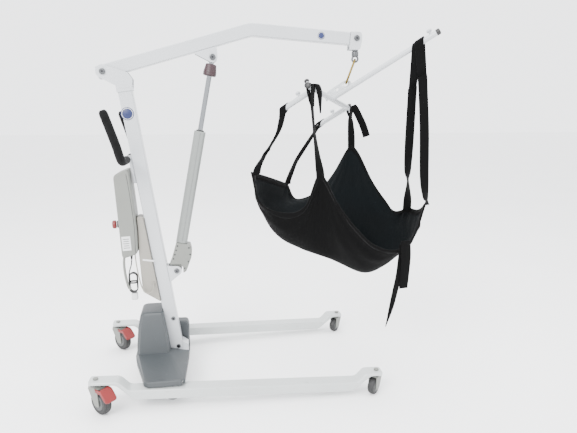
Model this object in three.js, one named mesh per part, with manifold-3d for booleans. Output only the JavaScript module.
// Patient lift hoist: wheeled base with two spreading legs, leaning mast, lifting boom with a
// linear actuator, swivel hanger, spreader bar and a fabric sling. Millimetres, +Z up,
// +X towards the open ends of the legs, +Y to the hoist's left-hand side.
import * as THREE from 'three';
import * as BufferGeometryUtils from 'three/addons/utils/BufferGeometryUtils.js';
import Module from 'manifold-3d';

const wasm = await Module();
wasm.setup();

// ---------------------------------------------------------------- driving dimensions
const GAP = 0.3;                      // between pieces that rest on each other
const RUNNING_GAP = 0.4;              // radial clearance of turning shafts

const LEG_SPAN = 1080;                // stem to stem along a leg
const LEG_TRACK = 552;                // between the two rear stems
const LEG_SPLAY = THREE.MathUtils.degToRad(1.9);
const LEG_SLOPE = THREE.MathUtils.degToRad(1.94);
const LEG_WIDTH = 60;
const LEG_DEPTH = 38;
const LEG_DROP = 35;                  // end plates stand this far above the straight tube
const END_PLATE = 12;
const REAR_PLATE_TOP = 128;
const FRONT_PLATE_TOP = 92;
const LEG_PIVOT_X = 280;
const LEG_PIVOT_RADIUS = 8;
const STEM_HOLE = 6.9;                // radius, in the end plates

const MAST_LEAN = THREE.MathUtils.degToRad(8.19);
const MAST_FOOT = [287.7, 104];       // where the mast's centre line meets the base beam
const MAST_DEPTH = 52.5;
const MAST_WIDTH = 50;
const MAST_BOTTOM_Z = 111.6;
const MAST_TOP = 1101.5;              // along the mast
const WALL = 3;

const BOOM_PIVOT = [54, 1258];
const BOOM_RISE = THREE.MathUtils.degToRad(16.45);
const BOOM_FALL = THREE.MathUtils.degToRad(3.6);
const BOOM_BEND = [622.5, 1426];
const BOOM_DEPTH = 50;
const BOOM_WIDTH = 40;
const BOOM_TAIL = 22;                 // behind the pivot
const BOOM_END_X = 1026;
const END_BOLT = [1053, 1402];
const BOLT_RADIUS = 8;

const ACTUATOR_FOOT = [299, 458];     // lower pivot, on the mast bracket
const ACTUATOR_HEAD = [470, 1318];    // upper pivot, under the boom
const ROD_RADIUS = 10;
const TUBE_START = 119;               // along the actuator, from the lower pivot
const TUBE_END = 584;
const BORE_BOTTOM = 280;
const ROD_LENGTH = 394;               // from the upper pivot to the rod's inner end

const REAR_WHEEL = { radius: 47.5, width: 30, trail: 26, heading: -45 };
const HANG_AZIMUTH = THREE.MathUtils.degToRad(75);
const HANG_AXIS = [Math.cos(HANG_AZIMUTH), Math.sin(HANG_AZIMUTH), 0];
const FRONT_WHEEL = { radius: 34, width: 26, trail: 18, heading: -135 };

const HANG_POINT = [1020, 9, 1225];    // where the hang plate sits in the carabiner
const ARM_AZIMUTH = THREE.MathUtils.degToRad(-33);
const ARM_RISE = THREE.MathUtils.degToRad(30);
const SPREADER_ROLL = THREE.MathUtils.degToRad(-13.7);
const ARM_LENGTH = 492;
const CROSS_HALF = 222;
const HOOK_ARM_AT = 164;              // along the cross bar, each side
const HOOK_ARM_LENGTH = 162;
const SPREADER_TUBE = 11;             // radius
const HANG_HOLE = [82, 23];           // on the hang plate: along the arm, above its centre line

// ---------------------------------------------------------------- materials
const finish = (color, roughness, metalness = 0) =>
  new THREE.MeshStandardMaterial({ color, roughness, metalness });
const WHITE = () => finish(0xe6e8e8, 0.35, 0.1);
const GREY_PLASTIC = () => finish(0x5c6366, 0.6);
const LIGHT_PLASTIC = () => finish(0xb9bbb5, 0.55);
const STEEL = () => finish(0x9a9ea0, 0.3, 0.9);
const CHROME = () => finish(0xc8cccd, 0.12, 1);
const BRASS = () => finish(0xb09a50, 0.35, 0.9);
const BLACK = () => finish(0x1b1b1b, 0.7);
const RED = () => finish(0x9c2526, 0.5);
const MAROON = () => finish(0x3c1a22, 0.5);
const CLOTH = () => finish(0x16181a, 0.9);

// ---------------------------------------------------------------- helpers
const group = new THREE.Group();

function piece(name, geometry, material) {
  const mesh = new THREE.Mesh(geometryOf(solid(geometry)), material);
  mesh.name = name;
  group.add(mesh);
  return mesh;
}

// A closed body with its faces turned outwards.
function solid(geometry) {
  const bare = new THREE.BufferGeometry();
  bare.setAttribute('position', geometry.getAttribute('position').clone());
  if (geometry.index) bare.setIndex(geometry.index.clone());
  const merged = BufferGeometryUtils.mergeVertices(bare, 1e-4);
  const position = merged.getAttribute('position');
  const corner = (i) => new THREE.Vector3().fromBufferAttribute(position, i);
  const faces = [];
  let volume = 0;
  for (let i = 0; i < merged.index.count; i += 3) {
    const [a, b, c] = merged.index.array.slice(i, i + 3);
    if (a !== b && b !== c && c !== a) {
      faces.push([a, b, c]);
      volume += corner(a).dot(corner(b).cross(corner(c)));
    }
  }
  const outward = volume > 0 ? faces : faces.map(([a, b, c]) => [a, c, b]);
  return new wasm.Manifold(new wasm.Mesh({
    numProp: 3,
    vertProperties: new Float32Array(position.array),
    triVerts: new Uint32Array(outward.flat()),
  }));
}

function geometryOf(manifold) {
  const mesh = manifold.getMesh();
  const geometry = new THREE.BufferGeometry();
  geometry.setAttribute('position', new THREE.BufferAttribute(mesh.vertProperties, 3));
  geometry.setIndex(new THREE.BufferAttribute(mesh.triVerts, 1));
  geometry.computeVertexNormals();
  return geometry;
}

function join(...geometries) {
  return geometryOf(geometries.map(solid).reduce((sum, next) => sum.add(next)));
}

function cut(geometry, ...tools) {
  return geometryOf(tools.map(solid).reduce((rest, tool) => rest.subtract(tool), solid(geometry)));
}

function common(first, second) {
  return geometryOf(solid(first).intersect(solid(second)));
}

function outline(points) {
  return new THREE.Shape(points.map(([x, y]) => new THREE.Vector2(x, y)));
}

function discOutline(x, y, radius, sides = 20) {
  const shape = new THREE.Shape();
  shape.absarc(x, y, radius, 0, 2 * Math.PI, false);
  return outline(shape.getPoints(sides / 2).slice(0, -1).map((p) => [p.x, p.y]));
}

function roundedOutline(width, height, radius) {
  const x = width / 2;
  const y = height / 2;
  const shape = new THREE.Shape();
  shape.moveTo(-x + radius, -y);
  shape.lineTo(x - radius, -y);
  shape.quadraticCurveTo(x, -y, x, -y + radius);
  shape.lineTo(x, y - radius);
  shape.quadraticCurveTo(x, y, x - radius, y);
  shape.lineTo(-x + radius, y);
  shape.quadraticCurveTo(-x, y, -x, y - radius);
  shape.lineTo(-x, -y + radius);
  shape.quadraticCurveTo(-x, -y, -x + radius, -y);
  return shape;
}

// An outline with its corners rounded: each corner is [x, y, radius].
function filleted(corners) {
  const shape = new THREE.Shape();
  const count = corners.length;
  corners.forEach(([x, y, radius = 0], i) => {
    const here = new THREE.Vector2(x, y);
    const before = new THREE.Vector2(...corners[(i + count - 1) % count]);
    const after = new THREE.Vector2(...corners[(i + 1) % count]);
    const enter = here.clone().add(before.sub(here).setLength(radius));
    const leave = here.clone().add(after.sub(here).setLength(radius));
    if (i === 0) shape.moveTo(enter.x, enter.y);
    else shape.lineTo(enter.x, enter.y);
    if (radius > 0) shape.quadraticCurveTo(x, y, leave.x, leave.y);
  });
  shape.closePath();
  return shape;
}

// A shape drawn in X and Z, extruded along Y between two values.
function slabY(shape, y0, y1, bevel = 0, curveSegments = 3) {
  const geometry = new THREE.ExtrudeGeometry(shape, {
    depth: y1 - y0 - 2 * bevel,
    bevelEnabled: bevel > 0,
    bevelThickness: bevel,
    bevelSize: bevel,
    bevelOffset: -bevel,
    bevelSegments: 1,
    curveSegments,
  });
  geometry.translate(0, 0, bevel);
  geometry.rotateX(Math.PI / 2);
  geometry.translate(0, y1, 0);
  return geometry;
}

// A shape drawn in X and Y, extruded along Z between two values.
function slabZ(shape, z0, z1, bevel = 0, curveSegments = 3) {
  const geometry = new THREE.ExtrudeGeometry(shape, {
    depth: z1 - z0 - 2 * bevel,
    bevelEnabled: bevel > 0,
    bevelThickness: bevel,
    bevelSize: bevel,
    bevelOffset: -bevel,
    bevelSegments: 1,
    curveSegments,
  });
  geometry.translate(0, 0, z0 + bevel);
  return geometry;
}

function box(x0, x1, y0, y1, z0, z1) {
  const geometry = new THREE.BoxGeometry(x1 - x0, y1 - y0, z1 - z0);
  return geometry.translate((x0 + x1) / 2, (y0 + y1) / 2, (z0 + z1) / 2);
}

// A cylinder between two points.
function bar(from, to, radius, sides = 16) {
  const a = new THREE.Vector3(...from);
  const b = new THREE.Vector3(...to);
  const geometry = new THREE.CylinderGeometry(radius, radius, a.distanceTo(b), sides);
  geometry.translate(0, a.distanceTo(b) / 2, 0);
  const turn = new THREE.Quaternion().setFromUnitVectors(
    new THREE.Vector3(0, 1, 0),
    b.clone().sub(a).normalize(),
  );
  return geometry.applyQuaternion(turn).translate(a.x, a.y, a.z);
}

// A turned piece: [radius, height] pairs from the axis out and back, placed at a point with
// its axis along a direction.
function turned(profile, at, axis, segments = 18) {
  const points = profile.map(([radius, height]) => new THREE.Vector2(radius, height));
  const geometry = new THREE.LatheGeometry(points, segments);
  const turn = new THREE.Quaternion().setFromUnitVectors(
    new THREE.Vector3(0, 1, 0),
    new THREE.Vector3(...axis).normalize(),
  );
  return geometry.applyQuaternion(turn).translate(...at);
}

function alongPath(shape, points, steps, tension = 0.5) {
  const path = new THREE.CatmullRomCurve3(
    points.map((p) => new THREE.Vector3(...p)),
    false,
    'catmullrom',
    tension,
  );
  return new THREE.ExtrudeGeometry(shape, { extrudePath: path, steps, bevelEnabled: false });
}

// Joins level rings of points, each with the same number, into one closed surface.
function skin(rings) {
  const count = rings[0].length;
  const positions = rings.flat(2);
  const index = [];
  for (let i = 0; i < rings.length - 1; i += 1) {
    const next = i + 1;
    for (let j = 0; j < count; j += 1) {
      const k = (j + 1) % count;
      index.push(i * count + j, i * count + k, next * count + k);
      index.push(i * count + j, next * count + k, next * count + j);
    }
  }
  const end = (rings.length - 1) * count;
  const flat = (ring) => ring.map(([x, y]) => new THREE.Vector2(x, y));
  THREE.ShapeUtils.triangulateShape(flat(rings[0]), []).forEach(([a, b, c]) => {
    index.push(a, c, b);
  });
  THREE.ShapeUtils.triangulateShape(flat(rings[rings.length - 1]), []).forEach(([a, b, c]) => {
    index.push(end + a, end + b, end + c);
  });
  const geometry = new THREE.BufferGeometry();
  geometry.setAttribute('position', new THREE.Float32BufferAttribute(positions, 3));
  geometry.setIndex(index);
  return geometry;
}

const X_AXIS = [1, 0, 0];
const Y_AXIS = [0, 1, 0];
const Z_AXIS = [0, 0, 1];

// A bolt along Y through a joint: a round head, a shank and a nut on the far side.
function crossBolt([x, z], y0, y1, radius = BOLT_RADIUS, headRadius = 12, headHeight = 6) {
  const profile = [
    [0, y0 - headHeight],
    [headRadius - 1.5, y0 - headHeight],
    [headRadius, y0 - headHeight + 1.5],
    [headRadius, y0],
    [radius, y0],
    [radius, y1],
    [headRadius, y1],
    [headRadius, y1 + headHeight],
    [0, y1 + headHeight],
  ];
  return turned(profile, [x, 0, z], Y_AXIS, 12);
}

function boltHole([x, z], y0, y1, radius = BOLT_RADIUS) {
  return bar([x, y0, z], [x, y1, z], radius + RUNNING_GAP, 16);
}

// ---------------------------------------------------------------- mast frame
// Points given as [forward, along] of the mast's own centre line.
const alongMast = ([forward, along]) => [
  MAST_FOOT[0] + forward * Math.cos(MAST_LEAN) - along * Math.sin(MAST_LEAN),
  MAST_FOOT[1] + forward * Math.sin(MAST_LEAN) + along * Math.cos(MAST_LEAN),
];
const mastFaceX = (z, forward) =>
  MAST_FOOT[0] + forward / Math.cos(MAST_LEAN) - (z - MAST_FOOT[1]) * Math.tan(MAST_LEAN);

// ---------------------------------------------------------------- legs
function legPlacement(side) {
  const turn = new THREE.Matrix4().makeRotationFromEuler(
    new THREE.Euler(0, LEG_SLOPE, side * LEG_SPLAY, 'ZYX'),
  );
  return turn.setPosition(0, (side * LEG_TRACK) / 2, REAR_PLATE_TOP);
}

function legPoint(side, along, down) {
  return new THREE.Vector3(along, 0, down).applyMatrix4(legPlacement(side));
}

const legPivot = (side) => {
  const along = LEG_PIVOT_X / (Math.cos(LEG_SPLAY) * Math.cos(LEG_SLOPE));
  const { x, y, z } = legPoint(side, along, -LEG_DROP);
  return [x, y, z];
};

function leg(side) {
  const top = -LEG_DROP;
  const bottom = -LEG_DROP - LEG_DEPTH;
  const sideView = filleted([
    [-24, -END_PLATE, 4],
    [-24, 0, 4],
    [86, 0, 14],
    [122, top, 10],
    [1000, top, 10],
    [1032, 0, 10],
    [LEG_SPAN + 22, 0, 4],
    [LEG_SPAN + 22, -END_PLATE, 4],
    [1052, -END_PLATE, 10],
    [980, bottom, 12],
    [142, bottom, 12],
    [76, -END_PLATE, 12],
  ]);
  const planView = roundedOutline(LEG_SPAN + 46, LEG_WIDTH, 18);
  const bothEnds = slabZ(planView, bottom - 5, 5);
  bothEnds.translate(LEG_SPAN / 2 - 1, 0, 0);
  const half = LEG_WIDTH / 2;
  let body = common(slabY(sideView, -half, half, 3), bothEnds);
  const inner = half - WALL;
  body = cut(
    body,
    box(165, 955, -inner, inner, bottom + WALL, top - WALL),
    bar([0, 0, -60], [0, 0, 10], STEM_HOLE, 20),
    bar([LEG_SPAN, 0, -60], [LEG_SPAN, 0, 10], STEM_HOLE, 20),
  );
  body.applyMatrix4(legPlacement(side));
  const [x, y] = legPivot(side);
  return cut(body, bar([x, y, 0], [x, y, 150], LEG_PIVOT_RADIUS + RUNNING_GAP, 20));
}

const BEAM_BOTTOM = 86;
const BEAM_TOP = 103;

function pivotBolt(side) {
  const [x, y, z] = legPivot(side);
  const legBottom = z - LEG_DEPTH - 1.4;
  return turned([
    [0, legBottom - 9],
    [20, legBottom - 9],
    [24, legBottom - 5],
    [24, legBottom],
    [LEG_PIVOT_RADIUS, legBottom],
    [LEG_PIVOT_RADIUS, BEAM_TOP + GAP],
    [13, BEAM_TOP + GAP],
    [13, BEAM_TOP + 5],
    [0, BEAM_TOP + 5],
  ], [x, y, 0], Z_AXIS);
}

function baseBeam() {
  const half = 299;
  const beam = slabZ(roundedOutline(70, 2 * half, 12), BEAM_BOTTOM, BEAM_TOP, 2);
  beam.translate(LEG_PIVOT_X, 0, 0);
  const holes = [-1, 1].map((side) => {
    const [x, y] = legPivot(side);
    return bar([x, y, 0], [x, y, 150], LEG_PIVOT_RADIUS + RUNNING_GAP, 20);
  });
  return cut(beam, ...holes);
}

// ---------------------------------------------------------------- casters
// Each caster is built with its swivel axis on Z at the origin, trailing towards +X.
function casterFork({ radius, width, trail }, plateUnderside, boltTop, hasBrake) {
  const crownTop = plateUnderside - (hasBrake ? 9 : 5);
  const crownBottom = 2 * radius + 2.5;
  const inner = width / 2 + 2;
  const outer = inner + 3.5;
  const axle = [trail, radius];
  const back = hasBrake ? 6 : 8;
  const cheek = filleted([
    [-radius * 0.52, crownBottom + 1, 6],
    [trail - 13, radius - 13, 10],
    [trail + 13, radius - 13, 10],
    [trail + back, crownBottom + 1, 3],
  ]);
  const parts = [
    slabZ(filleted([
      [-radius * 0.52, -outer, 9],
      [trail + back, -outer, 4],
      [trail + back, outer, 4],
      [-radius * 0.52, outer, 9],
    ]), crownBottom, crownTop, 1),
    slabY(cheek, inner, outer),
    slabY(cheek, -outer, -inner),
    bar([axle[0], -outer + 1, axle[1]], [axle[0], outer - 1, axle[1]], 4, 12),
    turned([
      [0, crownTop - 1],
      [hasBrake ? 24 : 19, crownTop - 1],
      [hasBrake ? 24 : 19, plateUnderside - GAP],
      [6, plateUnderside - GAP],
      [6, boltTop - 5],
      [9.5, boltTop - 5],
      [9.5, boltTop],
      [0, boltTop],
    ], [0, 0, 0], Z_AXIS, 16),
  ];
  if (hasBrake) {
    const [x, z] = brakePivot(trail, crownTop);
    parts.push(bar([x, -outer - 4.5, z], [x, outer + 4.5, z], 3, 12));
  }
  return join(...parts);
}

function brakePivot(trail, crownTop) {
  return [trail + 1, crownTop - 4.5];
}

function casterWheel({ radius, width, trail }) {
  const half = width / 2;
  const bore = 4 + RUNNING_GAP;
  return turned([
    [bore, -half],
    [radius * 0.86, -half],
    [radius * 0.96, -half + 3],
    [radius, -half + 8],
    [radius, half - 8],
    [radius * 0.96, half - 3],
    [radius * 0.86, half],
    [bore, half],
    [bore, -half],
  ], [trail, 0, radius], Y_AXIS, 22);
}

function brakePedal({ radius, width, trail }, plateUnderside) {
  const crownTop = plateUnderside - 9;
  const [x, z] = brakePivot(trail, crownTop);
  const outer = width / 2 + 5.5;
  const tread = slabZ(roundedOutline(58, 52, 14), -4, 4, 2.5);
  tread.rotateY(Math.PI / 4);
  const out = (radius + 10.5) * Math.SQRT1_2;
  tread.translate(trail + out + 4, 0, radius + out);
  const ear = filleted([
    [x - 6, z - 5, 4],
    [x + 20, z - 8, 3],
    [x + 37, z - 5, 3],
    [x + 26, z + 6, 3],
    [x - 6, z + 5, 4],
  ]);
  const ears = [1, -1].map((side) => {
    const y0 = side > 0 ? outer + GAP : -outer - GAP - 3;
    return slabY(ear, y0, y0 + 3);
  });
  const pin = bar([x, -60, z], [x, 60, z], 3 + RUNNING_GAP, 12);
  return cut(join(tread, ...ears), pin);
}

function placeCaster(geometry, side, front) {
  const spec = front ? FRONT_WHEEL : REAR_WHEEL;
  const stem = legPoint(side, front ? LEG_SPAN : 0, 0);
  geometry.rotateZ(THREE.MathUtils.degToRad(spec.heading));
  return geometry.translate(stem.x, stem.y, 0);
}

// ---------------------------------------------------------------- base cover
const COVER_RIM_Z = 89;

function coverRing(z, rear, front, halfWidth, cornerRear, cornerFront, inset) {
  const points = [
    [rear, -halfWidth * inset],
    [rear + cornerRear, -halfWidth],
    [front - cornerFront, -halfWidth],
    [front, -halfWidth * inset],
    [front, halfWidth * inset],
    [front - cornerFront, halfWidth],
    [rear + cornerRear, halfWidth],
    [rear, halfWidth * inset],
  ];
  return points.map(([x, y]) => [x, y, z]);
}

function skirtRing(z, shrink) {
  const end = 303 - shrink;
  const points = [
    [119 + shrink, 60],
    [130 + shrink, 120],
    [174 + shrink * 0.8, end - 14],
    [190, end],
    [312, end],
    [327 - shrink * 0.8, end - 16],
    [338 - shrink, 90],
    [340 - shrink, 0],
  ];
  const far = points.map(([x, y]) => [x, y, z]);
  const near = points.slice(0, -1).map(([x, y]) => [x, -y, z]).reverse();
  return [...near, ...far].reverse();
}

function towerFootRing(z) {
  const points = [[128, 50], [129, 78], [134, 89], [142, 92], [250, 92], [257, 89], [262, 80], [263, 0]];
  const far = points.map(([x, y]) => [x, y, z]);
  const near = points.slice(0, -1).map(([x, y]) => [x, -y, z]).reverse();
  return [...near, ...far].reverse();
}

function baseCover() {
  const skirt = skin([
    skirtRing(COVER_RIM_Z, 2),
    skirtRing(COVER_RIM_Z + 3, 0),
    skirtRing(COVER_RIM_Z + 19, 0),
    skirtRing(COVER_RIM_Z + 22, 4),
  ]);
  const hip = skin([skirtRing(COVER_RIM_Z + 21, 4), towerFootRing(126)]);
  const tower = skin([
    coverRing(112, 127, 263, 92, 12, 8, 0.86),
    coverRing(160, 129, 257, 84, 12, 8, 0.86),
    coverRing(230, 135, 247, 76, 13, 8, 0.85),
    coverRing(282, 145, 240, 69, 13, 8, 0.84),
    coverRing(292, 152, 237, 62, 13, 8, 0.83),
    coverRing(295, 160, 234, 54, 12, 8, 0.82),
  ]);
  const ear = slabY(filleted([
    [240, 100, 0],
    [336, 100, 0],
    [339, 190, 8],
    [332, 211, 10],
    [240, 214, 0],
  ]), 33, 84, 6);
  const shell = join(skirt, hip, tower, ear);
  const mastRear = (z) => mastFaceX(z, -MAST_DEPTH / 2) - 1.5;
  const footRoom = slabY(outline([
    [mastRear(105.5), 105.5],
    [345, 105.5],
    [345, 330],
    [mastRear(330), 330],
  ]), -43, 30.5);
  const beamRoom = box(240, 320, -300.5, 300.5, 80, 104.5);
  const nuts = [-1, 1].map((side) => {
    const [x, y] = legPivot(side);
    return bar([x, y, 80], [x, y, 109], 16, 16);
  });
  const socket = box(256, 335.5, -41, 41, 80, 112);
  const towerRoom = slabY(filleted([
    [140, 80, 4],
    [236, 80, 4],
    [228, 280, 8],
    [158, 280, 8],
  ]), -55, 55);
  return cut(shell, footRoom, beamRoom, socket, towerRoom, ...nuts);
}

// ---------------------------------------------------------------- mast
function mast() {
  const half = MAST_DEPTH / 2;
  const sideView = (inset, low, high) => {
    const reach = half - inset;
    return outline([
      [mastFaceX(low, -reach), low],
      [mastFaceX(low, reach), low],
      alongMast([reach, high]),
      alongMast([-reach, high]),
    ]);
  };
  const tube = slabY(sideView(0, MAST_BOTTOM_Z, MAST_TOP), -MAST_WIDTH / 2, MAST_WIDTH / 2, 3);
  const inside = MAST_WIDTH / 2 - WALL;
  return cut(
    tube,
    slabY(sideView(WALL, MAST_BOTTOM_Z - 20, MAST_TOP + 20), -inside, inside),
    ...FOOT_BOLTS.map((at) => boltHole(at, -40, 40, 7)),
  );
}

const FOOT_BOLTS = [[276, 250], [293, 124]];

function mastFoot() {
  const plate = box(256.5, 334.5, -40, 40, BEAM_TOP + GAP, MAST_BOTTOM_Z - GAP);
  const inside = MAST_WIDTH / 2 - WALL - 0.8;
  const reach = MAST_DEPTH / 2 - WALL - 0.8;
  const tenon = slabY(outline([
    [mastFaceX(MAST_BOTTOM_Z - 2, -reach), MAST_BOTTOM_Z - 2],
    [mastFaceX(MAST_BOTTOM_Z - 2, reach), MAST_BOTTOM_Z - 2],
    [mastFaceX(275, reach), 275],
    [mastFaceX(275, -reach), 275],
  ]), -inside, inside);
  const face = (z) => mastFaceX(z, MAST_DEPTH / 2) + GAP;
  const toe = slabY(filleted([
    [face(MAST_BOTTOM_Z - 2), MAST_BOTTOM_Z - 2, 0],
    [334.5, MAST_BOTTOM_Z - 2, 0],
    [334.5, 127, 3],
    [face(144) + 3, 144, 2],
    [face(144), 144, 0],
  ]), -25, 25);
  return cut(join(plate, tenon, toe), ...FOOT_BOLTS.map((at) => boltHole(at, -40, 40, 7)));
}

function headBracket() {
  const [px, pz] = [-66.8, 1175.5];
  const round = [];
  for (let degrees = 82; degrees <= 222; degrees += 14) {
    const angle = THREE.MathUtils.degToRad(degrees);
    round.push([px + 26 * Math.cos(angle), pz + 26 * Math.sin(angle)]);
  }
  const cheek = outline([
    [-30, 1099],
    [30, 1099],
    [37, 1134],
    [23, 1161],
    ...round,
    [-30, 1118],
  ].map(alongMast));
  const inner = BOOM_WIDTH / 2 + 0.8;
  const outer = inner + 5;
  const block = outline([
    [-29.5, MAST_TOP + GAP],
    [29.5, MAST_TOP + GAP],
    [29.5, 1113],
    [-29.5, 1113],
  ].map(alongMast));
  const sleeve = outline([[-30, 1092], [30, 1092], [30, 1102.5], [-30, 1102.5]].map(alongMast));
  const hollow = outline([
    [-MAST_DEPTH / 2 - GAP, 1080],
    [MAST_DEPTH / 2 + GAP, 1080],
    [MAST_DEPTH / 2 + GAP, MAST_TOP + GAP],
    [-MAST_DEPTH / 2 - GAP, MAST_TOP + GAP],
  ].map(alongMast));
  const room = MAST_WIDTH / 2 + GAP;
  return cut(
    join(
      slabY(cheek, inner, outer),
      slabY(cheek, -outer, -inner),
      slabY(block, -outer, outer),
      slabY(sleeve, -room - 3, room + 3),
    ),
    slabY(hollow, -room, room),
    boltHole(BOOM_PIVOT, -60, 60),
  );
}

// ---------------------------------------------------------------- boom
const rise = [Math.cos(BOOM_RISE), Math.sin(BOOM_RISE)];
const fall = [Math.cos(BOOM_FALL), -Math.sin(BOOM_FALL)];
const BOOM_END_Z = BOOM_BEND[1] - (BOOM_END_X - BOOM_BEND[0]) * Math.tan(BOOM_FALL);

function boomOutline(reach, tail, tip) {
  const half = (BOOM_RISE + BOOM_FALL) / 2;
  const mitre = (BOOM_RISE - BOOM_FALL) / 2;
  const corner = (side) => [
    BOOM_BEND[0] - (side * reach * Math.sin(mitre)) / Math.cos(half),
    BOOM_BEND[1] + (side * reach * Math.cos(mitre)) / Math.cos(half),
  ];
  const start = (side) => [
    BOOM_PIVOT[0] - tail * rise[0] - side * reach * rise[1],
    BOOM_PIVOT[1] - tail * rise[1] + side * reach * rise[0],
  ];
  const end = (side) => [
    BOOM_END_X + tip * fall[0] - side * reach * fall[1],
    BOOM_END_Z + tip * fall[1] + side * reach * fall[0],
  ];
  return [start(-1), corner(-1), end(-1), end(1), corner(1), start(1)];
}

function boom() {
  const reach = BOOM_DEPTH / 2;
  const outer = boomOutline(reach, BOOM_TAIL, 0);
  const radii = [6, 8, 0, 0, 24, 6];
  const shape = filleted(outer.map(([x, z], i) => [x, z, radii[i]]));
  const inner = outline(boomOutline(reach - WALL, BOOM_TAIL + 20, 20));
  const inside = BOOM_WIDTH / 2 - WALL;
  return cut(
    slabY(shape, -BOOM_WIDTH / 2, BOOM_WIDTH / 2, 3),
    slabY(inner, -inside, inside),
    boltHole(BOOM_PIVOT, -60, 60),
  );
}

const boomUnderside = (x) =>
  BOOM_PIVOT[1] + (x - BOOM_PIVOT[0]) * Math.tan(BOOM_RISE) - BOOM_DEPTH / 2 / Math.cos(BOOM_RISE);

const LUG_INNER = 14.5;
const LUG_OUTER = 19.5;

function boomLug() {
  const [bx, bz] = ACTUATOR_HEAD;
  const round = [];
  for (let degrees = 240; degrees <= 360; degrees += 15) {
    const angle = THREE.MathUtils.degToRad(degrees);
    round.push([bx + 20 * Math.cos(angle), bz + 20 * Math.sin(angle)]);
  }
  const top = (x) => [x, boomUnderside(x) - GAP];
  const plate = outline([top(402), [402, boomUnderside(402) - 5], ...round, top(bx + 17)]);
  const web = outline([
    top(402),
    [402, boomUnderside(402) - 5],
    [bx + 17, boomUnderside(bx + 17) - 5],
    top(bx + 17),
  ]);
  return cut(
    join(
      slabY(plate, LUG_INNER, LUG_OUTER),
      slabY(plate, -LUG_OUTER, -LUG_INNER),
      slabY(web, -LUG_OUTER, LUG_OUTER),
    ),
    boltHole(ACTUATOR_HEAD, -60, 60),
  );
}

function lugBolt(side) {
  const face = LUG_OUTER + GAP;
  return turned([
    [0, LUG_INNER - 1.3],
    [BOLT_RADIUS, LUG_INNER - 1.3],
    [BOLT_RADIUS, face],
    [12, face],
    [12, face + 5],
    [10.5, face + 6.5],
    [0, face + 6.5],
  ], [ACTUATOR_HEAD[0], 0, ACTUATOR_HEAD[1]], [0, side, 0], 16);
}

const endFaceX = (z) => BOOM_END_X + GAP + (z - BOOM_END_Z) * Math.tan(BOOM_FALL);

function endBracket() {
  const plate = filleted([
    [endFaceX(1357), 1357, 2],
    [1068, 1357, 8],
    [1077, 1396, 14],
    [1074, 1427, 12],
    [endFaceX(1427), 1427],
  ]);
  const web = outline([
    [endFaceX(1372), 1372],
    [endFaceX(1372) + 5, 1372],
    [endFaceX(1427) + 5, 1427],
    [endFaceX(1427), 1427],
  ]);
  const inner = BOOM_WIDTH / 2 - 4.5;
  const outer = BOOM_WIDTH / 2 + 0.5;
  return cut(
    join(
      slabY(plate, inner, outer),
      slabY(plate, -outer, -inner),
      slabY(web, -outer, outer),
    ),
    boltHole(END_BOLT, -60, 60),
  );
}

// ---------------------------------------------------------------- hanger and carabiner
const SWIVEL_Z = 1352;                // where the hanger link ends and the swivel eye begins
const EYE_Z = 1322;                   // centre of the swivel's eye
const EYE_HOLE = 8;
const RING_TOP = [END_BOLT[0], 0, EYE_Z - 2.4];
const RING_HALF_WIDTH = 20;           // carabiner centre line
const RING_BAR = 4.5;
const GATE = [26, 70];                // along the carabiner, from its top
const GATE_HINGE_ROOM = 2.2;          // lets the gate's lower end turn clear of the bar

function hangerLink() {
  const [x, z] = END_BOLT;
  const eye = slabY(discOutline(x, z, 16), -12, 12, 1.5);
  const neck = turned([
    [0, SWIVEL_Z + GAP],
    [11, SWIVEL_Z + GAP],
    [13, SWIVEL_Z + 4],
    [13, SWIVEL_Z + 12],
    [9, SWIVEL_Z + 18],
    [9, z - 6],
    [0, z - 6],
  ], [x, 0, 0], Z_AXIS, 20);
  const pin = bar([x, 0, SWIVEL_Z - 13], [x, 0, SWIVEL_Z + 4], 5, 16);
  const pinHead = bar([x, 0, SWIVEL_Z - 13], [x, 0, SWIVEL_Z - 9.5], 8, 16);
  return cut(join(eye, neck, pin, pinHead), boltHole(END_BOLT, -60, 60));
}

function swivelEye() {
  const [x] = END_BOLT;
  const cup = turned([
    [0, SWIVEL_Z - 20],
    [13, SWIVEL_Z - 20],
    [14, SWIVEL_Z - 17],
    [14, SWIVEL_Z - 2],
    [12, SWIVEL_Z],
    [0, SWIVEL_Z],
  ], [x, 0, 0], Z_AXIS, 20);
  const bore = bar([x, 0, SWIVEL_Z - 10], [x, 0, SWIVEL_Z + 5], 5 + RUNNING_GAP, 16);
  const headRoom = bar([x, 0, SWIVEL_Z - 14], [x, 0, SWIVEL_Z - 9], 8 + RUNNING_GAP, 16);
  const eye = slabY(discOutline(0, 0, 15.5), -5, 5, 1.5);
  eye.rotateZ(HANG_AZIMUTH - Math.PI / 2);
  eye.translate(x, 0, EYE_Z);
  const along = (distance) => [x + distance * HANG_AXIS[0], distance * HANG_AXIS[1], EYE_Z];
  return cut(join(cup, eye), bore, headRoom, bar(along(-20), along(20), EYE_HOLE, 20));
}

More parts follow.
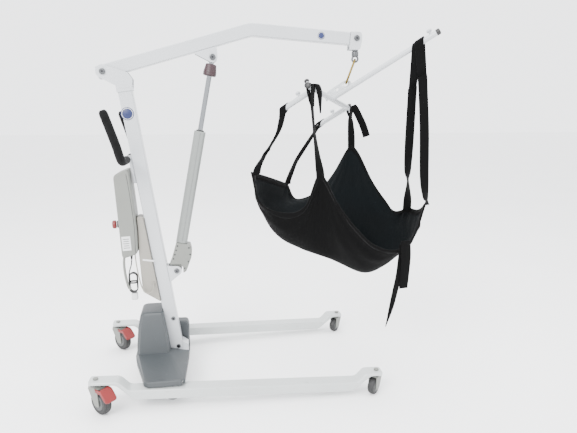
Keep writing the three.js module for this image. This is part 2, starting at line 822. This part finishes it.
// ---------------------------------------------------------------- spreader frame of axes
const armAxis = new THREE.Vector3(
  Math.cos(ARM_RISE) * Math.cos(ARM_AZIMUTH),
  Math.cos(ARM_RISE) * Math.sin(ARM_AZIMUTH),
  Math.sin(ARM_RISE),
);
const level = new THREE.Vector3(-Math.sin(ARM_AZIMUTH), Math.cos(ARM_AZIMUTH), 0);
const crossAxis = level.clone().multiplyScalar(Math.cos(SPREADER_ROLL))
  .addScaledVector(armAxis.clone().cross(level), Math.sin(SPREADER_ROLL));
const topAxis = armAxis.clone().cross(crossAxis);
const hub = new THREE.Vector3(...HANG_POINT)
  .addScaledVector(armAxis, -HANG_HOLE[0] - 1.3)
  .addScaledVector(topAxis, -HANG_HOLE[1] - 2.2);
const onSpreader = (along, across, above) => hub.clone()
  .addScaledVector(armAxis, along)
  .addScaledVector(crossAxis, across)
  .addScaledVector(topAxis, above)
  .toArray();

// The carabiner lies in the plane of the hang axis and the line from eye to hang plate.
const ringAcross = new THREE.Vector3(...HANG_AXIS);
const ringDown = new THREE.Vector3(...HANG_POINT).sub(new THREE.Vector3(...RING_TOP));
ringDown.addScaledVector(ringAcross, -ringDown.dot(ringAcross));
const RING_LENGTH = ringDown.length();
ringDown.normalize();
const onRing = (across, down) => new THREE.Vector3(...RING_TOP)
  .addScaledVector(ringAcross, across)
  .addScaledVector(ringDown, down);

function carabinerPath() {
  const points = [];
  const add = (across, down) => points.push(onRing(across, down));
  const low = RING_LENGTH - RING_HALF_WIDTH;
  add(RING_HALF_WIDTH, GATE[0]);
  for (let i = 0; i <= 8; i += 1) {
    const angle = (i / 8) * Math.PI;
    add(RING_HALF_WIDTH * Math.cos(angle), RING_HALF_WIDTH * (1 - Math.sin(angle)));
  }
  add(-RING_HALF_WIDTH, RING_LENGTH / 2);
  for (let i = 0; i <= 8; i += 1) {
    const angle = Math.PI + (i / 8) * Math.PI;
    add(RING_HALF_WIDTH * Math.cos(angle), low - RING_HALF_WIDTH * Math.sin(angle));
  }
  add(RING_HALF_WIDTH, GATE[1]);
  return points;
}

function carabiner() {
  return new THREE.ExtrudeGeometry(discOutline(0, 0, RING_BAR, 8), {
    extrudePath: new THREE.CatmullRomCurve3(carabinerPath(), false, 'centripetal'),
    steps: 32,
    bevelEnabled: false,
  });
}

function carabinerGate() {
  const from = onRing(RING_HALF_WIDTH, GATE[0] + GAP * 2).toArray();
  const to = onRing(RING_HALF_WIDTH, GATE[1] - GATE_HINGE_ROOM).toArray();
  return bar(from, to, 3.8, 12);
}

// ---------------------------------------------------------------- spreader bar
function spreaderBar() {
  const tube = (from, to) => bar(onSpreader(...from), onSpreader(...to), SPREADER_TUBE, 12);
  const stud = (along, across) => join(
    bar(onSpreader(along, across, 0), onSpreader(along, across, 22), 5, 8),
    bar(onSpreader(along, across, 21), onSpreader(along, across, 27), 9, 10),
  );
  const plate = new THREE.ExtrudeGeometry(filleted([
    [-26, 4, 0],
    [104, 4, 0],
    [104, 26, 10],
    [86, 40, 10],
    [-8, 38, 10],
    [-26, 22, 10],
  ]), { depth: 5, bevelEnabled: false, curveSegments: 4 });
  plate.translate(0, 0, -2.5);
  const basis = new THREE.Matrix4().makeBasis(armAxis, topAxis, crossAxis.clone().negate());
  plate.applyMatrix4(basis.setPosition(hub));
  const hole = (along) => bar(
    onSpreader(along, -10, HANG_HOLE[1]),
    onSpreader(along, 10, HANG_HOLE[1]),
    along === HANG_HOLE[0] ? 10 : 7,
    20,
  );
  const frame = join(
    tube([0, -CROSS_HALF, 0], [0, CROSS_HALF, 0]),
    tube([0, 0, 0], [ARM_LENGTH, 0, 0]),
    tube([0, -HOOK_ARM_AT, 0], [-HOOK_ARM_LENGTH, -HOOK_ARM_AT, 0]),
    tube([0, HOOK_ARM_AT, 0], [-HOOK_ARM_LENGTH, HOOK_ARM_AT, 0]),
    plate,
    stud(0, -CROSS_HALF + 12),
    stud(0, CROSS_HALF - 12),
    stud(-70, -HOOK_ARM_AT),
    stud(-70, HOOK_ARM_AT),
    stud(ARM_LENGTH - 30, 0),
  );
  return cut(frame, hole(HANG_HOLE[0]), hole(HANG_HOLE[0] - 44), hole(HANG_HOLE[0] - 88));
}

// ---------------------------------------------------------------- sling
const SLING_THICKNESS = 8;
const STRAP_WIDTH = 36;
const STRAP_THICKNESS = 4;

// Stations from the head end to the leg end: near edge, lowest line and far edge.
const SLING = [
  [[630, -60, 865], [692, 40, 835], [800, 190, 785]],
  [[650, -120, 745], [672, 10, 725], [845, 192, 712]],
  [[735, -150, 712], [725, -40, 610], [945, 192, 745]],
  [[815, -160, 740], [830, -60, 548], [1020, 185, 830]],
  [[875, -150, 868], [945, -80, 500], [1100, 180, 950]],
  [[985, -215, 680], [1085, -115, 448], [1180, 120, 805]],
  [[1080, -236, 588], [1180, -150, 500], [1225, 60, 722]],
  [[1180, -242, 568], [1250, -175, 592], [1252, 0, 678]],
  [[1292, -226, 742], [1288, -165, 712], [1278, -102, 705]],
];

// A sheet of even thickness laid on a grid of points.
function sheet(grid, thickness) {
  const rows = grid.length;
  const columns = grid[0].length;
  const at = (i, j) => grid[Math.min(Math.max(i, 0), rows - 1)][Math.min(Math.max(j, 0), columns - 1)];
  const top = [];
  const bottom = [];
  for (let i = 0; i < rows; i += 1) {
    for (let j = 0; j < columns; j += 1) {
      const down = at(i + 1, j).clone().sub(at(i - 1, j));
      const across = at(i, j + 1).clone().sub(at(i, j - 1));
      const normal = down.cross(across).setLength(thickness / 2);
      top.push(grid[i][j].clone().add(normal));
      bottom.push(grid[i][j].clone().sub(normal));
    }
  }
  const count = rows * columns;
  const positions = [...top, ...bottom].flatMap((p) => p.toArray());
  const index = [];
  const quad = (a, b, c, d) => index.push(a, b, c, a, c, d);
  const id = (i, j) => i * columns + j;
  for (let i = 0; i < rows - 1; i += 1) {
    for (let j = 0; j < columns - 1; j += 1) {
      quad(id(i, j), id(i + 1, j), id(i + 1, j + 1), id(i, j + 1));
      quad(
        id(i, j) + count, id(i, j + 1) + count, id(i + 1, j + 1) + count, id(i + 1, j) + count,
      );
    }
    quad(id(i, 0), id(i, 0) + count, id(i + 1, 0) + count, id(i + 1, 0));
    const j = columns - 1;
    quad(id(i, j), id(i + 1, j), id(i + 1, j) + count, id(i, j) + count);
  }
  for (let j = 0; j < columns - 1; j += 1) {
    quad(id(0, j), id(0, j + 1), id(0, j + 1) + count, id(0, j) + count);
    const i = rows - 1;
    quad(id(i, j), id(i, j) + count, id(i, j + 1) + count, id(i, j + 1));
  }
  const geometry = new THREE.BufferGeometry();
  geometry.setAttribute('position', new THREE.Float32BufferAttribute(positions, 3));
  geometry.setIndex(index);
  return geometry;
}

function slingBody() {
  const vector = (p) => new THREE.Vector3(...p);
  const line = (column) => new THREE.CatmullRomCurve3(SLING.map((row) => vector(row[column])));
  const [near, low, far] = [0, 1, 2].map(line);
  const grid = [];
  const rows = 14;
  for (let i = 0; i <= rows; i += 1) {
    const [a, b, c] = [near, low, far].map((curve) => curve.getPoint(i / rows));
    const middle = a.clone().add(c).multiplyScalar(0.5);
    const belly = (p, q) => p.clone().add(q).multiplyScalar(0.5)
      .addScaledVector(p.clone().add(q).multiplyScalar(0.5).sub(middle), 0.22);
    const section = new THREE.CatmullRomCurve3([a, belly(a, b), b, belly(b, c), c]);
    grid.push(section.getPoints(8));
  }
  return sheet(grid, SLING_THICKNESS);
}

function ribbon(points, width, widthAxis, rows, thickness = STRAP_THICKNESS) {
  const curve = new THREE.CatmullRomCurve3(points.map((p) => new THREE.Vector3(...p)));
  const side = new THREE.Vector3(...widthAxis).setLength(width / 2);
  const grid = curve.getPoints(rows).map((p) => [p.clone().sub(side), p.clone().add(side)]);
  return sheet(grid, thickness);
}

const below = ([x, y, z], distance) => [x, y, z - distance];
const STRAPS = {
  strap_head_near: [
    below(onSpreader(-HOOK_ARM_LENGTH + 22, -HOOK_ARM_AT, 0), 29), [695, -28, 980], [634, -58, 886],
  ],
  strap_head_far: [
    below(onSpreader(-HOOK_ARM_LENGTH + 22, HOOK_ARM_AT, 0), 29), [862, 218, 875], [802, 194, 806],
  ],
  strap_side_near: [
    below(onSpreader(0, -CROSS_HALF + 34, 0), 29), [850, -140, 1010], [874, -149, 890],
  ],
  strap_side_far: [
    below(onSpreader(0, CROSS_HALF - 34, 0), 29), [1112, 188, 1035], [1103, 181, 972],
  ],
  strap_leg_far: [
    below(onSpreader(400, 0, 0), 29), [1250, -150, 1115], [1252, -130, 890], [1274, -108, 730],
  ],
  strap_leg_near: [
    below(onSpreader(448, 0, 0), 29), [1284, -196, 1110], [1290, -220, 820], [1292, -226, 768],
  ],
};

// ---------------------------------------------------------------- actuator
const actuatorAxis = new THREE.Vector3(
  ACTUATOR_HEAD[0] - ACTUATOR_FOOT[0],
  0,
  ACTUATOR_HEAD[1] - ACTUATOR_FOOT[1],
);
const ACTUATOR_LENGTH = actuatorAxis.length();
actuatorAxis.normalize();
const onActuator = (along, forward = 0, y = 0) => [
  ACTUATOR_FOOT[0] + along * actuatorAxis.x + forward * actuatorAxis.z,
  y,
  ACTUATOR_FOOT[1] + along * actuatorAxis.z - forward * actuatorAxis.x,
];

function actuatorTube() {
  const section = filleted([
    [-23, -14, 2],
    [-10, -25, 3],
    [14, -25, 3],
    [23, -16, 2],
    [23, 16, 2],
    [14, 25, 3],
    [-10, 25, 3],
    [-23, 14, 2],
  ]);
  const tube = slabZ(section, TUBE_START + GAP, TUBE_END, 1.5, 2);
  const bore = bar([0, 0, BORE_BOTTOM], [0, 0, TUBE_END + 5], ROD_RADIUS + RUNNING_GAP, 24);
  const body = cut(tube, bore);
  const basis = new THREE.Matrix4().makeBasis(
    new THREE.Vector3(actuatorAxis.z, 0, -actuatorAxis.x),
    new THREE.Vector3(0, 1, 0),
    actuatorAxis.clone(),
  );
  return body.applyMatrix4(basis.setPosition(ACTUATOR_FOOT[0], 0, ACTUATOR_FOOT[1]));
}

function motorHousing() {
  const seat = (forward) => onActuator(TUBE_START, forward).filter((value, i) => i !== 1);
  const main = filleted([
    seat(-21),
    seat(36),
    [364, 548, 12],
    [363, 520, 12],
    [350, 486, 12],
    [338, 456],
    [326, 450],
    [325, 474],
    [314, 487],
    [271, 487],
    [278, 502],
  ]);
  const [px, pz] = ACTUATOR_FOOT;
  const eye = discOutline(px, pz, 17);
  const neck = outline([[281, 500], [281, pz], [316, pz], [316, 500]]);
  return cut(
    join(
      slabY(main, -32, 32, 3),
      slabY(eye, -18, 18),
      slabY(neck, -18, 18),
    ),
    boltHole(ACTUATOR_FOOT, -60, 60),
  );
}

function actuatorRod() {
  const eye = slabY(discOutline(...ACTUATOR_HEAD, 15), -12, 12, 1.5);
  const rod = bar(
    onActuator(ACTUATOR_LENGTH - ROD_LENGTH),
    onActuator(ACTUATOR_LENGTH - 10),
    ROD_RADIUS,
    24,
  );
  const hole = bar(
    [ACTUATOR_HEAD[0], -30, ACTUATOR_HEAD[1]],
    [ACTUATOR_HEAD[0], 30, ACTUATOR_HEAD[1]],
    9,
    20,
  );
  return cut(join(eye, rod), hole);
}

// A tapered ring that turns on the rod below its eye.
function loweringCollar() {
  return turned([
    [ROD_RADIUS + RUNNING_GAP, ACTUATOR_LENGTH - 72],
    [23, ACTUATOR_LENGTH - 72],
    [26, ACTUATOR_LENGTH - 69],
    [26, ACTUATOR_LENGTH - 58],
    [21, ACTUATOR_LENGTH - 28],
    [19, ACTUATOR_LENGTH - 26],
    [ROD_RADIUS + RUNNING_GAP, ACTUATOR_LENGTH - 26],
    [ROD_RADIUS + RUNNING_GAP, ACTUATOR_LENGTH - 72],
  ], onActuator(0), actuatorAxis.toArray());
}

function actuatorBracket() {
  const [px, pz] = ACTUATOR_FOOT;
  const face = (z) => mastFaceX(z, MAST_DEPTH / 2) + GAP;
  const round = [];
  for (let degrees = -50; degrees <= 90; degrees += 20) {
    const angle = THREE.MathUtils.degToRad(degrees);
    round.push([px + 20 * Math.cos(angle), pz + 20 * Math.sin(angle)]);
  }
  const cheek = outline([[face(410), 410], ...round, [face(480), 480]]);
  const back = outline([[face(410), 410], [face(410) + 5, 412], [face(480) + 5, 480], [face(480), 480]]);
  return cut(
    join(
      slabY(cheek, 19, 25),
      slabY(cheek, -25, -19),
      slabY(back, -25, 25),
    ),
    boltHole(ACTUATOR_FOOT, -60, 60),
  );
}

// ---------------------------------------------------------------- control unit and handles
const BOX_OUTLINE = [
  [72, 865, 16],
  [131, 889, 16],
  [139, 803, 20],
  [151, 641, 20],
  [150, 545, 16],
  [88, 526, 16],
];

const STOP_Z = 660;

function controlBox() {
  return slabY(filleted(BOX_OUTLINE), -55, 55, 4);
}

function controlMount() {
  const face = (z) => mastFaceX(z, -MAST_DEPTH / 2) - GAP;
  const body = slabY(filleted([
    [151.5, 545, 4],
    [152.5, 640, 4],
    [149, 694, 10],
    [face(690), 690, 0],
    [face(332), 332, 0],
    [159, 378, 8],
  ]), -38, 38, 3);
  const gland = bar([205, -42, 415], [205, -34, 415], 6.5, 16);
  return join(body, gland);
}

// Distances out from the box's rear face, square to it.
const boxRear = new THREE.Vector2(
  BOX_OUTLINE[5][0] - BOX_OUTLINE[0][0],
  BOX_OUTLINE[5][1] - BOX_OUTLINE[0][1],
).normalize();
const STOP_AXIS = [boxRear.y, 0, -boxRear.x];
const stopPoint = (out) => {
  const down = (BOX_OUTLINE[0][1] - STOP_Z) / -boxRear.y;
  return [BOX_OUTLINE[0][0] + down * boxRear.x + out * STOP_AXIS[0], 0, STOP_Z + out * STOP_AXIS[2]];
};

function stopButtonBase() {
  return cut(
    bar(stopPoint(GAP), stopPoint(12), 15, 20),
    bar(stopPoint(-2), stopPoint(20), 8 + RUNNING_GAP, 20),
  );
}

function stopButton() {
  return turned([
    [0, 5],
    [8, 5],
    [8, 17],
    [16, 17],
    [17, 19],
    [17, 27],
    [14, 31],
    [0, 33],
  ], stopPoint(0), STOP_AXIS, 20);
}

const HANDLE_Z = 925;
const HANDLE_X = 129;

function handleBracket() {
  const face = (z) => mastFaceX(z, -MAST_DEPTH / 2) - GAP;
  const plate = slabY(outline([
    [face(828) - 12, 828],
    [face(828), 828],
    [face(934), 934],
    [face(934) - 12, 934],
  ]), -20, 20, 2);
  return join(plate, bar([HANDLE_X, -46, HANDLE_Z], [HANDLE_X, 46, HANDLE_Z], 11, 20));
}

function handGrip(side) {
  const route = [
    [HANDLE_X, 46.5, HANDLE_Z],
    [HANDLE_X, 120, HANDLE_Z],
    [HANDLE_X, 185, HANDLE_Z + 4],
    [126, 212, HANDLE_Z + 24],
    [118, 219, 985],
    [98, 221, 1050],
    [78, 222, 1112],
  ].map(([x, y, z]) => [x, side * y, z]);
  return alongPath(discOutline(0, 0, 15.5, 12), route, 14);
}

// ---------------------------------------------------------------- leads
const LEAD_RADIUS = 2.5;
const CHARGER_LEAD = [
  [120, -20, 534.4],
  [120, -20, 510],
  [123, -20, 490],
  [123, -20, 475],
  [122, -20, 460.4],
];
const HANK_TOP = 460;
const HANK_BOTTOM = 372;

const ACTUATOR_LEAD = [
  [136, -34, 539],
  [138, -37, 515],
  [143, -47, 480],
  [150, -52, 440],
  [160, -54, 400],
  [176, -54, 378],
  [194, -54, 380],
  [203, -53, 396],
  [204, -50, 410],
  [205, -44, 415],
];

function hank() {
  const shape = roundedOutline(38, HANK_TOP - HANK_BOTTOM, 18);
  const body = slabY(shape, -13, 13, 5);
  return body.translate(122, -20, (HANK_TOP + HANK_BOTTOM) / 2);
}

function chargerPlug() {
  return slabZ(roundedOutline(26, 20, 6), 342, HANK_BOTTOM - GAP, 3).translate(124, -20, 0);
}

// ---------------------------------------------------------------- the assembly
const SIDES = { left: 1, right: -1 };

piece('base_beam', baseBeam(), WHITE());
piece('base_cover', baseCover(), GREY_PLASTIC());
piece('mast_foot', mastFoot(), WHITE());
FOOT_BOLTS.forEach((at, i) => {
  const name = ['mast_bolt_upper', 'mast_bolt_lower'][i];
  piece(name, crossBolt(at, -MAST_WIDTH / 2 - GAP, MAST_WIDTH / 2 + GAP, 7, 9, 4), STEEL());
});
piece('mast', mast(), WHITE());
piece('head_bracket', headBracket(), WHITE());
piece('boom_pivot_bolt', crossBolt(BOOM_PIVOT, -26.1, 26.1), STEEL());
piece('actuator_bracket', actuatorBracket(), WHITE());
piece('actuator_foot_bolt', crossBolt(ACTUATOR_FOOT, -25.3, 25.3, BOLT_RADIUS, 11, 5), STEEL());
piece('control_box', controlBox(), LIGHT_PLASTIC());
piece('control_mount', controlMount(), LIGHT_PLASTIC());
piece('stop_button_base', stopButtonBase(), BLACK());
piece('stop_button', stopButton(), RED());
piece('handle_bracket', handleBracket(), WHITE());
piece('actuator_lead', alongPath(discOutline(0, 0, LEAD_RADIUS, 8), ACTUATOR_LEAD, 30), LIGHT_PLASTIC());
piece('charger_lead', alongPath(discOutline(0, 0, LEAD_RADIUS, 8), CHARGER_LEAD, 8), BLACK());
piece('charger_hank', hank(), BLACK());
piece('charger_plug', chargerPlug(), WHITE());

Object.entries(SIDES).forEach(([name, side]) => {
  piece(`leg_${name}`, leg(side), WHITE());
  piece(`leg_pivot_bolt_${name}`, pivotBolt(side), STEEL());
  piece(`hand_grip_${name}`, handGrip(side), BLACK());
  ['rear', 'front'].forEach((end) => {
    const front = end === 'front';
    const spec = front ? FRONT_WHEEL : REAR_WHEEL;
    const plateTop = front ? FRONT_PLATE_TOP : REAR_PLATE_TOP;
    const underside = plateTop - END_PLATE - 1.5;
    const fork = casterFork(spec, underside, plateTop + 6, !front);
    piece(`caster_fork_${end}_${name}`, placeCaster(fork, side, front), LIGHT_PLASTIC());
    piece(`caster_wheel_${end}_${name}`, placeCaster(casterWheel(spec), side, front), BLACK());
    if (!front) {
      piece(`brake_pedal_${name}`, placeCaster(brakePedal(spec, underside), side, false), RED());
    }
  });
});

piece('boom', boom(), WHITE());
piece('boom_lug', boomLug(), WHITE());
piece('lug_bolt_near', lugBolt(-1), STEEL());
piece('lug_bolt_far', lugBolt(1), STEEL());
piece('boom_end_bracket', endBracket(), WHITE());
piece('boom_end_bolt', crossBolt(END_BOLT, -20.8, 20.8, BOLT_RADIUS, 12, 6), STEEL());
piece('motor_housing', motorHousing(), LIGHT_PLASTIC());
piece('actuator_tube', actuatorTube(), LIGHT_PLASTIC());
piece('actuator_rod', actuatorRod(), CHROME());
piece('lowering_collar', loweringCollar(), MAROON());
piece('hanger_link', hangerLink(), STEEL());
piece('swivel_eye', swivelEye(), STEEL());
piece('carabiner', carabiner(), BRASS());
piece('carabiner_gate', carabinerGate(), BRASS());
piece('spreader_bar', spreaderBar(), WHITE());
piece('sling_body', slingBody(), CLOTH());
Object.entries(STRAPS).forEach(([name, points]) => {
  piece(name, ribbon(points, STRAP_WIDTH, armAxis.clone().setZ(0).toArray(), 8), CLOTH());
});
piece('sling_tail', ribbon(
  [[1195, -249, 548], [1190, -248, 455], [1166, -240, 350], [1146, -236, 242]],
  30,
  X_AXIS,
  8,
), CLOTH());

// The origin is on the floor, under the middle of the whole hoist.
const bounds = new THREE.Box3().setFromObject(group);
const middle = bounds.getCenter(new THREE.Vector3());
group.children.forEach((mesh) => mesh.geometry.translate(-middle.x, -middle.y, -bounds.min.z));

export default group;
